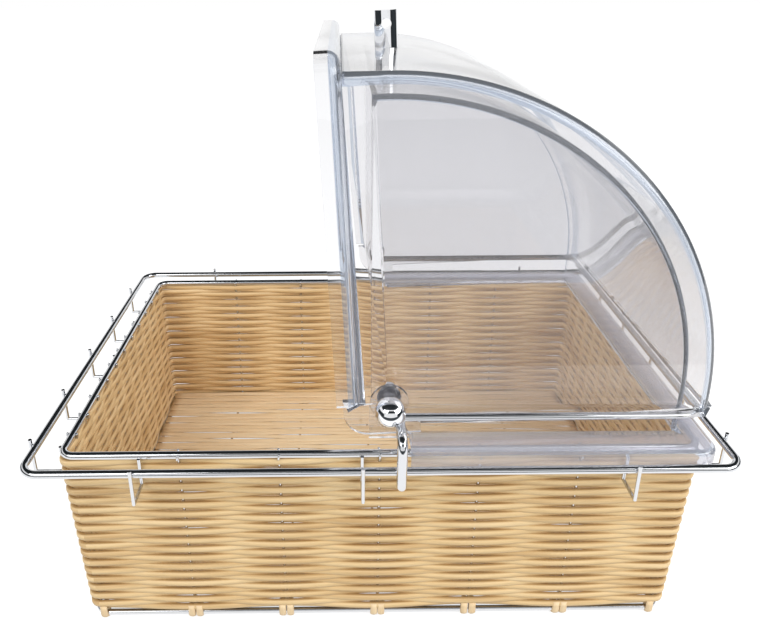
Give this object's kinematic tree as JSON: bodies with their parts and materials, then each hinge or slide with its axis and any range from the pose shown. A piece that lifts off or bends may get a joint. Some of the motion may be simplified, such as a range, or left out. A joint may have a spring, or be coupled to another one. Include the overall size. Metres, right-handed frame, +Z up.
{
  "type": "roll-top bread display basket",
  "caption": "Rectangular woven bread basket on a chrome wire frame, under a clear roll-top cover that turns back over a fixed one.",
  "frame": {"origin": "centre of the basket's footprint on the table", "axes": "+X to the right along the long side, +Y to the back, +Z up; the front is at -Y"},
  "size_m": [0.5648, 0.403, 0.5012],
  "materials": {
    "chrome": "polished",
    "polished_chrome": "polished",
    "cane": "satin",
    "clear_cover": "gloss",
    "spacer_plastic": "gloss",
    "screw_steel": "satin"
  },
  "bodies": {
    "basket": {"base_wire_frame": "chrome", "rim_wire_frame": "chrome", "floor_wires": "chrome", "front_stakes": "chrome", "back_stakes": "chrome", "left_stakes": "chrome", "right_stakes": "chrome", "woven_front": "cane", "woven_back": "cane", "woven_left": "cane", "woven_right": "cane", "woven_floor": "cane", "base_lashings": "cane", "rail_frame": "chrome", "front_hooks": "chrome", "back_hooks": "chrome", "left_hooks": "chrome", "right_hooks": "chrome", "bracket_posts": "chrome", "bracket_loop": "chrome", "front_hinge_pin": "polished_chrome", "rear_hinge_pin": "polished_chrome", "hinge_spacers": "spacer_plastic", "hinge_nuts": "polished_chrome", "fixed_cover": "clear_cover"},
    "cover": {"moving_cover": "clear_cover", "handle_post": "polished_chrome", "handle_screw": "screw_steel", "handle_washer": "spacer_plastic"}
  },
  "joints": [
    {"name": "cover_hinge", "type": "hinge", "parent": "basket", "child": "cover", "pos_m": [0.007, 0, 0.21925], "axis": [0, -1, 0], "range_deg": [0, 87.3]}
  ]
}
